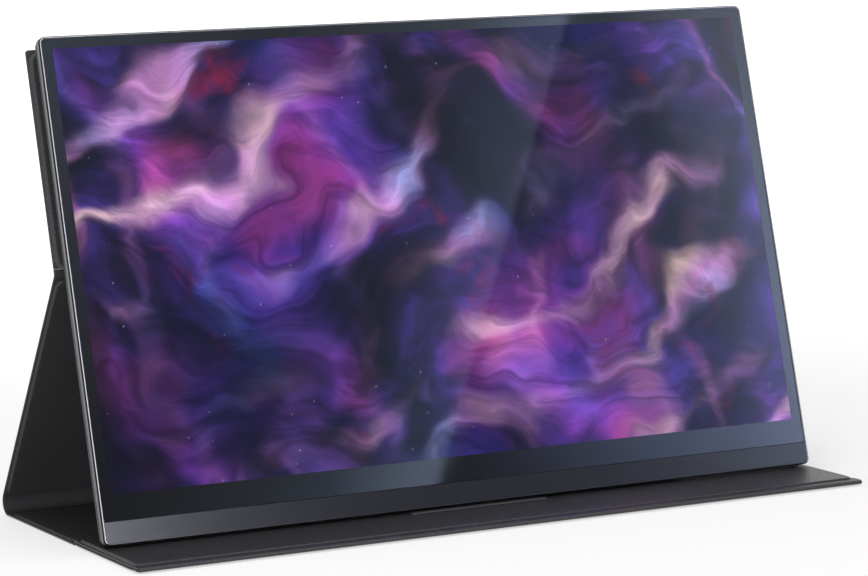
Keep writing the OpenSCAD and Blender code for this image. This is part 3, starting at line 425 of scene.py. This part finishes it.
# The rear cover: an aluminium tray, sand-blasted and anodised charcoal. The blasting leaves a
# fine sparkle over a surface that is a little duller in places.
back, tree, shader = new_material("sand_blasted_cover")
place = display_coordinates(tree)
blast = add(tree, "TexNoise", {"Vector": place, "Scale": 3200.0, "Detail": 2.0})
haze = add(tree, "TexNoise", {"Vector": place, "Scale": 14.0, "Detail": 3.0})
tone = add(tree, "ValToRGB", {"Fac": blast}, stops=[(0.25, "#2b2d31"), (0.75, "#44474d")])
rough = add(tree, "MapRange", {"Value": haze, "To Min": 0.38, "To Max": 0.5})
feed(tree, shader, {"Base Color": tone, "Metallic": 0.85, "Roughness": rough,
                    "Normal": add(tree, "Bump", {"Height": blast, "Strength": 0.25,
                                                 "Distance": 0.00006})})
dress(back, "rear_plastic", "rear_cover")

# The stiffening boards and the pad's block: grey fibre board, pressed from pulp, with short
# dark and light fibres.
pulp, tree, shader = new_material("fibre_board")
fibres = add(tree, "TexNoise", {"Vector": display_coordinates(tree), "Scale": 700.0,
                                "Detail": 4.0, "Distortion": 1.5})
tone = add(tree, "ValToRGB", {"Fac": fibres}, stops=[(0.3, "#4a4642"), (0.7, "#6f6a63")])
feed(tree, shader, {"Base Color": tone, "Roughness": 0.85})
dress(pulp, "fibre_board", "back_board", "brace_board", "base_rear_board", "base_front_board",
      "flap_board", "pad_block")

# The leather cover: one long strip of coated leather, turned and pressed over stiff boards,
# with soft folds between them. It is laid out along one line that runs under the base's
# front, round its nose, back to the rear bend, up the brace and up the display's back.
hem_t = 0.9 * MM
panel_t = 1.57 * MM
slit = 0.02 * MM
bend_r = 6.0 * MM
crease_half = 2.5 * MM
hem_w = 2.5 * MM
hem_sink = 0.1 * MM
board_gap = 0.4 * MM
corner_r = 2.5 * MM
board_r = 4.0 * MM
low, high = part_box("base_skin")
cover_w = high.x - low.x
bend_y = high.y
panel_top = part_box("flap_skin")[1].z
flap_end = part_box("flap_skin")[1].y
fold_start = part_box("front_fold")[1].y
nose_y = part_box("front_fold")[0].y + hem_t
crease_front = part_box("base_front_board")[1].y + board_gap
crease_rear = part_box("base_rear_board")[0].y - board_gap
holder_points = np.array([v.co for v in frame["nodes"]["back_skin"].data.vertices])
back_depth = (holder_points @ depth_axis).max()
back_low = (holder_points @ up_axis).min()
back_high = (holder_points @ up_axis).max()
fold_up = back_low - crease_half
fold_point = (fold_up * up_axis + back_depth * depth_axis)[1:]


def line(a, b, step=1.0 * MM):
    """Points along a straight stretch with their heading, the angle from +Y towards +Z."""
    count = max(2, int(math.dist(a, b) / step) + 1)
    heading = math.atan2(b[1] - a[1], b[0] - a[0])
    return np.linspace(a, b, count), np.full(count, heading)


def arc(centre, radius, start, end, turn, count=40):
    """Points round a centre from one angle to another; the heading is square to the spoke,
    ahead of it for a turn of 1 and behind it for a turn of -1."""
    spoke = np.linspace(start, end, count)
    points = np.stack([centre[0] + radius * np.cos(spoke), centre[1] + radius * np.sin(spoke)], 1)
    return points, spoke + turn * math.pi / 2


def step_down(a, b, part=0.35, count=40):
    """A stretch from a to b: its height falls by half a cosine wave over the first part of
    it, and the rest lies level."""
    share = np.linspace(0, 1, count)
    wave = math.pi * np.minimum(share / part, 1)
    run, drop = b[0] - a[0], b[1] - a[1]
    slope = drop * math.pi * np.sin(wave) / 2 / (run * part)
    return (np.stack([a[0] + run * share, a[1] + drop * (1 - np.cos(wave)) / 2], 1),
            np.arctan(slope))


low_z = panel_top - slit
high_z = panel_top + slit
bend_centre = np.array([bend_y, bend_r])
lean_side = fold_point - bend_centre
lean = math.atan2(lean_side[1], lean_side[0]) - math.acos(bend_r / math.hypot(*lean_side))
bend_end = bend_centre + bend_r * np.array([math.cos(lean), math.sin(lean)])
brace_heading = lean + math.pi / 2
back_heading = math.pi / 2 - tilt
round_r = 2.0 * MM
tangent = round_r * math.tan((brace_heading - back_heading) / 2)
brace_way = np.array([math.cos(brace_heading), math.sin(brace_heading)])
back_way = np.array([math.cos(back_heading), math.sin(back_heading)])
round_start = fold_point - tangent * brace_way
round_centre = round_start + round_r * np.array([brace_way[1], -brace_way[0]])
stretches = [
    line((flap_end, low_z), (fold_start, low_z)),
    line((fold_start, low_z), (nose_y, low_z)),
    arc((nose_y, panel_top), slit, -math.pi / 2, -3 * math.pi / 2, -1),
    line((nose_y, high_z), (fold_start, high_z)),
    line((fold_start, high_z), (crease_front, high_z)),
    step_down((crease_front, high_z), (crease_rear, 0)),
    line((crease_rear, 0), (bend_y, 0)),
    arc(bend_centre, bend_r, -math.pi / 2, lean, 1),
    line(bend_end, fold_point - crease_half * brace_way),
    line(fold_point - crease_half * brace_way, round_start),
    arc(round_centre, round_r, brace_heading + math.pi / 2, back_heading + math.pi / 2, -1),
    line(fold_point + tangent * back_way, fold_point + crease_half * back_way),
    line(fold_point + crease_half * back_way, fold_point + (back_high - fold_up) * back_way)]
line_points = np.concatenate([s[0] for s in stretches])
line_heading = np.concatenate([s[1] for s in stretches])
line_heading = np.where(line_heading < -2, line_heading + 2 * math.pi, line_heading)
line_along = np.concatenate([[0], np.cumsum(np.linalg.norm(np.diff(line_points, axis=0), axis=1))])
ends = np.cumsum([len(s[0]) for s in stretches]) - 1
(to_flap, to_nose, past_nose, to_base, to_crease, past_crease, to_bend, to_brace, to_fold, _, _,
 to_back, to_top) = line_along[ends]


def on_line(along, height):
    """Where a point of the cover lies in Y and Z: at a distance along the line, then square
    off it towards the lining by its height."""
    heading = np.interp(along, line_along, line_heading)
    y = np.interp(along, line_along, line_points[:, 0]) - height * np.sin(heading)
    z = np.interp(along, line_along, line_points[:, 1]) + height * np.cos(heading)
    return y, z


def spaced(start, end, coarse, fine, edges, reach):
    """Positions from start to end: coarse steps, and fine ones within reach of each edge."""
    parts = [np.arange(start, end, coarse), [start, end]]
    parts += [np.arange(edge - reach, edge + reach, fine) for edge in edges]
    merged = np.unique(np.round(np.concatenate(parts), 6))
    return merged[(merged >= start) & (merged <= end)]


def inside(across, along, half_w, start, end, radius):
    """How far a point lies inside a rectangle with round corners; outside it is negative."""
    side = np.abs(across) - (half_w - radius)
    length = np.abs(along - (start + end) / 2) - ((end - start) / 2 - radius)
    corner = np.hypot(np.maximum(side, 0), np.maximum(length, 0))
    return radius - corner - np.minimum(np.maximum(side, length), 0)


def eased(share):
    """A smooth step from 0 to 1, flat at both ends: three squares less two cubes."""
    share = np.clip(share, 0, 1)
    return share * share * (3 - 2 * share)


def drawn_in(to_end, radius):
    """How far a round corner draws the side in: the radius less the height of its circle."""
    short = np.maximum(radius - to_end, 0)
    return radius - np.sqrt(np.maximum(radius ** 2 - short ** 2, 0))


def pressed(edge, radius):
    """The share of full thickness near an edge: a quarter circle over the given radius."""
    return np.sqrt(1 - (1 - np.clip(edge / radius, 0.02, 1)) ** 2)


def closed_sheet(name, upper, lower, pattern):
    """A thin closed body between two grids of points, with walls round its four sides; the
    pattern grid holds each point's place on the flat material."""
    rows, columns = upper.shape[:2]
    index = np.arange(rows * columns).reshape(rows, columns)
    under = index + rows * columns

    def quads(a, b, c, d):
        return np.stack([a.ravel(), b.ravel(), c.ravel(), d.ravel()], 1)

    faces = np.concatenate([
        quads(index[:-1, :-1], index[:-1, 1:], index[1:, 1:], index[1:, :-1]),
        quads(under[:-1, :-1], under[1:, :-1], under[1:, 1:], under[:-1, 1:]),
        quads(under[0, :-1], under[0, 1:], index[0, 1:], index[0, :-1]),
        quads(index[-1, :-1], index[-1, 1:], under[-1, 1:], under[-1, :-1]),
        quads(index[:-1, 0], index[1:, 0], under[1:, 0], under[:-1, 0]),
        quads(under[:-1, -1], under[1:, -1], index[1:, -1], index[:-1, -1])])
    points = np.concatenate([upper.reshape(-1, 3), lower.reshape(-1, 3)])
    flat = np.tile(pattern.reshape(-1, 2), (2, 1))
    mesh = bpy.data.meshes.new(name)
    mesh.from_pydata(points, [], faces.tolist())
    layer = mesh.uv_layers.new(name="flat")
    layer.data.foreach_set("uv", flat[faces.ravel()].ravel())
    mesh.polygons.foreach_set("use_smooth", np.ones(len(faces), bool))
    mesh.update()
    made = bpy.data.objects.new(name, mesh)
    bpy.context.scene.collection.objects.link(made)
    return made


edge_round = 0.45 * MM
rise_w = 1.8 * MM
ease_w = 4 * MM
half_w = cover_w / 2
cover_columns = spaced(-half_w, half_w, 6 * MM, 0.22 * MM, (-half_w, half_w), 5 * MM)


def leather_panel(name, start, end, boards, board_top=panel_t, corner_r=corner_r,
                  droop=(0, 0, 0), free_start=False, free_end=False):
    """A length of the cover: the lining rises from the hem to the boards' tops over a short
    slope, the outer side sinks a little at the hems, and free edges are pressed round. The
    hems droop by a height between two places on the line, eased over ease_w at each."""
    edges = [b for board in boards for b in board]
    edges += [start] * free_start + [end] * free_end
    along = spaced(start, end, 4 * MM, 0.25 * MM, edges, 2.5 * MM)
    if end - start < 20 * MM:
        along = spaced(start, end, 0.2 * MM, 0.2 * MM, (), 0)
    u, s = np.meshgrid(cover_columns, along)
    past_joint = 40 * MM
    outline = (start - past_joint * (not free_start), end + past_joint * (not free_end))
    to_end = np.minimum(s - outline[0], outline[1] - s)
    x = u * (half_w - drawn_in(to_end, corner_r)) / half_w
    edge = inside(x, s, half_w, *outline, corner_r)
    over = np.zeros_like(x)
    for from_s, to_s in boards:
        board = inside(x, s, half_w - hem_w, from_s, to_s, board_r)
        over = np.maximum(over, eased(board / rise_w + 1.0))
    sag = droop[0] * eased((s - droop[1]) / ease_w) * eased((droop[2] - s) / ease_w)
    upper = hem_t + sag + (board_top - hem_t - sag) * over
    lower = (hem_sink + sag) * (1 - over)
    middle = (upper + lower) / 2
    grids = []
    for height in (upper, lower):
        y, z = on_line(s, middle + (height - middle) * pressed(edge, edge_round))
        grids.append(np.stack([x, y, z], -1))
    return closed_sheet(name, *grids, np.stack([x, s], -1))


flap_leather = leather_panel("flap_leather", 0.0, to_flap, [(hem_w, to_flap - board_gap)],
                             corner_r=0.8 * MM, droop=(0.3 * MM, -ease_w, to_flap),
                             free_start=True)
base_leather = leather_panel("base_leather", to_base, to_bend, [
    (to_base + board_gap, to_crease - board_gap),
    (past_crease + board_gap, to_bend - crease_half)],
    droop=(-0.3 * MM, to_base, to_crease - 1 * MM))
bend_leather = leather_panel("rear_bend_leather", to_bend, to_brace, [])
brace_leather = leather_panel("brace_leather", to_brace, to_fold,
                              [(to_brace + 0.6 * MM, to_fold - board_gap)])
fold_leather = leather_panel("top_fold_leather", to_fold, to_back, [])
back_leather = leather_panel("back_leather", to_back, to_top,
                             [(to_back + board_gap, to_top - hem_w)],
                             board_top=1.93 * MM, corner_r=1.6 * MM, free_end=True)

leather, tree, shader = new_material("cross_hatched_leather")
flat = add(tree, "UVMap", {}, uv_map="flat")
hatch_pitch = 1.25 * MM
hatch = []
for turn in (38, -38):
    turned = add(tree, "Mapping", {"Vector": flat, "Rotation": (0, 0, math.radians(turn))})
    hatch.append(add(tree, "TexWave", {"Vector": turned, "Scale": math.pi / 10 / hatch_pitch,
                                       "Distortion": 1.2, "Detail": 2.0, "Detail Scale": 1.5}))
crossed = add(tree, "Math", {0: hatch[0].outputs["Fac"], 1: hatch[1].outputs["Fac"]},
              operation="MULTIPLY")
pores = add(tree, "TexNoise", {"Vector": flat, "Scale": 2600.0, "Detail": 2.0})
pebbles = add(tree, "TexNoise", {"Vector": flat, "Scale": 520.0, "Detail": 3.0, "Distortion": 0.6})
relief = add(tree, "Math", {0: pores, 1: 0.35, 2: crossed}, operation="MULTIPLY_ADD")
relief = add(tree, "Math", {0: pebbles, 1: 0.9, 2: relief}, operation="MULTIPLY_ADD")
blotches = add(tree, "TexNoise", {"Vector": flat, "Scale": 22.0, "Detail": 4.0})
tone = add(tree, "ValToRGB", {"Fac": relief}, stops=[(0.45, "#161618"), (1.0, "#2a2a2c")])
tone = add(tree, "MixRGB", {"Fac": add(tree, "MapRange", {"Value": blotches, "To Max": 0.35}),
                            "Color1": tone, "Color2": "#2e2e30"})
rough = add(tree, "MapRange", {"Value": relief, "From Min": 0.4, "From Max": 1.4,
                               "To Min": 0.46, "To Max": 0.26})
feed(tree, shader, {"Base Color": tone, "Roughness": rough, "IOR": 1.45,
                    "Normal": add(tree, "Bump", {"Height": relief, "Strength": 0.7,
                                                 "Distance": 0.00015})})
for piece in (flap_leather, base_leather, bend_leather, brace_leather, fold_leather,
              back_leather):
    piece.data.materials.append(leather)

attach(flap_leather, "flap")
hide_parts("flap_skin", "flap_lining")
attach(base_leather, "base")
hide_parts("base_skin", "base_lining")
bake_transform(bend_leather)
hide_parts("rear_bend")
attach(brace_leather, "brace")
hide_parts("brace_skin", "brace_lining")
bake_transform(fold_leather)
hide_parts("top_crease")
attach(back_leather, "holder")
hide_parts("back_skin")

# The soft fold at the base's front: the bare leather, without a board, turns round its nose
# and under the base to the flap.
nose_rows = np.concatenate([
    np.arange(to_flap, to_nose, 0.3 * MM), np.linspace(to_nose, past_nose, 17),
    np.arange(past_nose + 0.3 * MM, to_base, 0.3 * MM), [to_base]])
u, s = np.meshgrid(cover_columns, nose_rows)
to_end = on_line(s, 0 * s)[0] - nose_y + hem_t
x = u * (half_w - drawn_in(to_end, corner_r)) / half_w
grids = []
for height in (hem_t, 0.0):
    y, z = on_line(s, hem_t / 2 + (height - hem_t / 2) * pressed(half_w - np.abs(u), edge_round))
    grids.append(np.stack([x, y, z], -1))
front_leather = closed_sheet("front_fold_leather", *grids, np.stack([x, s], -1))
front_leather.data.materials.append(leather)
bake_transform(front_leather)
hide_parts("front_fold")

# The holder pad: a foam-backed slab wrapped in the same leather, which the display's steel
# plates cling to. Its edges are turned over the block and pulled round.
pad_points = np.array([v.co for v in frame["nodes"]["pad_wrap"].data.vertices])
pad_w = np.ptp(pad_points[:, 0])
pad_low, pad_high = (pad_points @ up_axis).min(), (pad_points @ up_axis).max()
pad_near, pad_far = (pad_points @ depth_axis).min(), (pad_points @ depth_axis).max()
pad_corner_r = 2 * MM
pad_soft = 3.2 * MM
u, v = np.meshgrid(
    spaced(-pad_w / 2, pad_w / 2, 6 * MM, 0.3 * MM, (-pad_w / 2, pad_w / 2), 9 * MM),
    spaced(pad_low, pad_high, 5 * MM, 0.3 * MM, (pad_low, pad_high), 9 * MM))
to_end = np.minimum(v - pad_low, pad_high - v)
x = u * (pad_w / 2 - drawn_in(to_end, pad_corner_r)) / (pad_w / 2)
edge = inside(x, v, pad_w / 2, pad_low, pad_high, pad_corner_r)
fullness = (1 - (1 - np.clip(edge / pad_soft, 0.004, 1)) ** 2.2) ** (1 / 2.2)
grids = []
for side in (-1, 1):
    depth = (pad_near + pad_far) / 2 + side * (pad_far - pad_near) / 2 * fullness
    points = v[..., None] * up_axis + depth[..., None] * depth_axis
    points[..., 0] = x
    grids.append(points)
pad_leather = closed_sheet("pad_leather", *grids, np.stack([x, v], -1))
pad_leather.data.materials.append(leather)
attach(pad_leather, "holder")
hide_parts("pad_wrap")

# The stop bar: a narrow strip of stiffener under leather, glued across the base's front so
# that the display's foot can't slide.
low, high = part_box("stop_bar")
bar_rows = spaced(low.y, high.y, 0.15 * MM, 0.15 * MM, (), 0)
bar_columns = spaced(low.x, high.x, 3 * MM, 0.15 * MM, (low.x, high.x), 1.5 * MM)
x, y = np.meshgrid(bar_columns, bar_rows)
edge = inside(x, y, high.x, low.y, high.y, 1.0 * MM)
top = low.z + (high.z - low.z) * pressed(edge, 0.8 * MM)
bar_leather = closed_sheet("stop_bar_leather", np.stack([x, y, top], -1),
                           np.stack([x, y, np.full_like(x, low.z - 0.02 * MM)], -1),
                           np.stack([x, y], -1))
bar_leather.data.materials.append(leather)
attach(bar_leather, "base")
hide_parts("stop_bar")

# The studio: a white table and white surroundings, one large soft lamp from the upper left, a
# low one that reaches under the cover, and two cards that only reflections see.
def seen_rays(tree):
    """1 for a ray that the eye follows, straight, mirrored or through glass, and else 0."""
    rays = add(tree, "LightPath", {})
    seen = add(tree, "Math", {0: rays.outputs["Is Camera Ray"],
                              1: rays.outputs["Is Glossy Ray"]}, operation="MAXIMUM")
    return add(tree, "Math", {0: seen, 1: rays.outputs["Is Transmission Ray"]},
               operation="MAXIMUM")


floor_mesh = bpy.data.meshes.new("table")
reach = 6.0
floor_mesh.from_pydata([(-reach, -reach, 0), (reach, -reach, 0), (reach, reach, 0),
                        (-reach, reach, 0)], [], [(0, 1, 2, 3)])
floor = bpy.data.objects.new("table", floor_mesh)
bpy.context.scene.collection.objects.link(floor)
white, tree, shader = new_material("white_table")
seen = seen_rays(tree)
far_off = add(tree, "VectorMath", {0: add(tree, "TexCoord", {}).outputs["Object"]},
              operation="LENGTH")
lift = add(tree, "MapRange", {"Value": far_off.outputs["Value"], "From Min": 0.35,
                              "From Max": 1.5, "To Min": 0.5, "To Max": 0.95})
lift = add(tree, "Math", {0: seen, 1: lift}, operation="MULTIPLY")
feed(tree, shader, {"Base Color": "#bcbcbc", "Roughness": 0.9, "Specular IOR Level": 0.0,
                    "Emission Color": "#ffffff", "Emission Strength": lift})
floor.data.materials.append(white)

world = bpy.data.worlds.new("studio")
bpy.context.scene.world = world
world.use_nodes = True
tree = world.node_tree
background = tree.nodes["Background"]
seen = seen_rays(tree)
ambient = 0.75
feed(tree, background, {"Color": "#ffffff", "Strength": add(
    tree, "MapRange", {"Value": seen, "To Min": ambient, "To Max": 1.0})})


def soft_lamp(name, place, target, width, height, power, glossy=True):
    """A flat oblong lamp that faces a target."""
    data = bpy.data.lights.new(name, "AREA")
    data.shape = "RECTANGLE"
    data.size = width
    data.size_y = height
    data.energy = power
    made = bpy.data.objects.new(name, data)
    made.location = place
    made.rotation_mode = "QUATERNION"
    made.rotation_quaternion = (Vector(target) - Vector(place)).to_track_quat("-Z", "Y")
    made.visible_glossy = glossy
    bpy.context.scene.collection.objects.link(made)


soft_lamp("overhead", (-0.6, -0.6, 1.6), (0, 0, 0.05), 1.4, 1.4, 6)
soft_lamp("low_fill", (-1.0, -1.25, 0.15), (-0.15, 0.03, 0.05), 0.4, 0.2, 24, glossy=False)


def reflection_card(name, corner, width, height, ray, strength, build):
    """An upright card that only one kind of ray sees. Its emission is built over its own flat
    place, which is the card's X and Z in metres."""
    x, y, z = corner
    mesh = bpy.data.meshes.new(name)
    mesh.from_pydata([corner, (x + width, y, z), (x + width, y, z + height), (x, y, z + height)],
                     [], [(0, 1, 2, 3)])
    layer = mesh.uv_layers.new(name="flat")
    layer.data.foreach_set("uv", [x, z, x + width, z, x + width, z + height, x, z + height])
    made = bpy.data.objects.new(name, mesh)
    bpy.context.scene.collection.objects.link(made)
    for kind in ("camera", "diffuse", "glossy", "transmission", "shadow", "volume_scatter"):
        setattr(made, f"visible_{kind}", kind == ray)
    material, tree, shader = new_material(f"{name}_paint")
    place = add(tree, "UVMap", {}, uv_map="flat")
    feed(tree, shader, {"Base Color": "#000000", "Roughness": 1.0, "Specular IOR Level": 0.0,
                        "Emission Strength": strength, "Emission Color": build(tree, place)})
    mesh.materials.append(material)


def window_light(tree, place):
    """Dark, with a pale band that ends at one sharp slanting edge, a glow on the right, and
    more light high up."""
    sides = add(tree, "SeparateXYZ", {"Vector": place})
    slant = add(tree, "Math", {0: sides.outputs["Y"], 1: -0.591, 2: sides.outputs["X"]},
                operation="MULTIPLY_ADD")
    share = add(tree, "MapRange", {"Value": slant, "From Min": -0.2, "From Max": 0.8})
    bands = add(tree, "ValToRGB", {"Fac": share}, stops=[
        (0.0, "#697080"), (1.0, "#95a2c3"), (0.27, "#32363d"), (0.39, "#545b66"),
        (0.465, "#6c7a8e"), (0.5698, "#c6d8ff"), (0.5712, "#3a3e46"), (0.70, "#4c5167"),
        (0.82, "#66718d")])
    off = add(tree, "VectorMath", {0: place, 1: (1.0, 0.5, 0)}, operation="DISTANCE")
    glow = add(tree, "MapRange", {"Value": off.outputs["Value"], "From Min": 0.40,
                                  "From Max": 0.0}, interpolation_type="SMOOTHSTEP")
    light = add(tree, "MixRGB", {"Fac": glow, "Color1": bands, "Color2": "#aabced"},
                blend_type="ADD")
    high = add(tree, "MapRange", {"Value": sides.outputs["Y"], "From Min": 0.45,
                                  "From Max": 0.84})
    return add(tree, "MixRGB", {"Fac": high, "Color1": light, "Color2": "#5c6470"},
               blend_type="ADD")


def satin_sheen(tree, place):
    """Bright at the left, dark in the middle and pale on the right; the strip's satin blurs
    its steps."""
    sides = add(tree, "SeparateXYZ", {"Vector": place})
    share = add(tree, "MapRange", {"Value": sides.outputs["X"], "From Min": -0.4,
                                   "From Max": 1.6})
    return add(tree, "ValToRGB", {"Fac": share}, stops=[
        (0.0, "#f4f3f4"), (1.0, "#adb5c5"), (0.325, "#f4f3f4"), (0.335, "#38393d"),
        (0.45, "#313237"), (0.60, "#313338"), (0.64, "#44474f"), (0.69, "#9aa2b0")])


reflection_card("window_card", (-1.0, -1.2, 0.0), 3.2, 2.0, "transmission", 1.15, window_light)
reflection_card("satin_card", (-0.1, -1.15, 0.0), 1.4, 2.0, "glossy", 4.0, satin_sheen)
